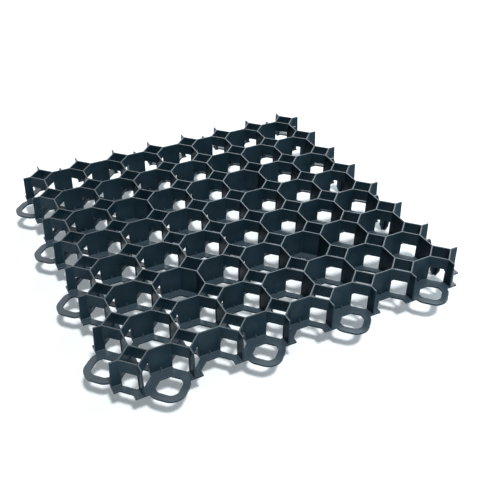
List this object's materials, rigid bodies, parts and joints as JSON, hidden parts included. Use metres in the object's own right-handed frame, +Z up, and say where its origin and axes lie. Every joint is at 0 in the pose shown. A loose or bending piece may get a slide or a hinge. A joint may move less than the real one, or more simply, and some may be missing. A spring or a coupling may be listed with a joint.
{
  "type": "grass paver grid",
  "caption": "Square plastic ground grid of octagon and square cells with ring plates, edge loops and hooks that join it to the next panel, and short ground spikes.",
  "frame": {"origin": "middle of the panel's box, in plan, at the tips of its ground spikes", "axes": "+Z up through the cells towards the rim, +X and +Y along two edges of the panel, towards the two edges with hooks"},
  "size_m": [0.5272, 0.5272, 0.07],
  "materials": {
    "plastic": "matte"
  },
  "bodies": {
    "root": {"paver_grid": "plastic"}
  },
  "joints": []
}
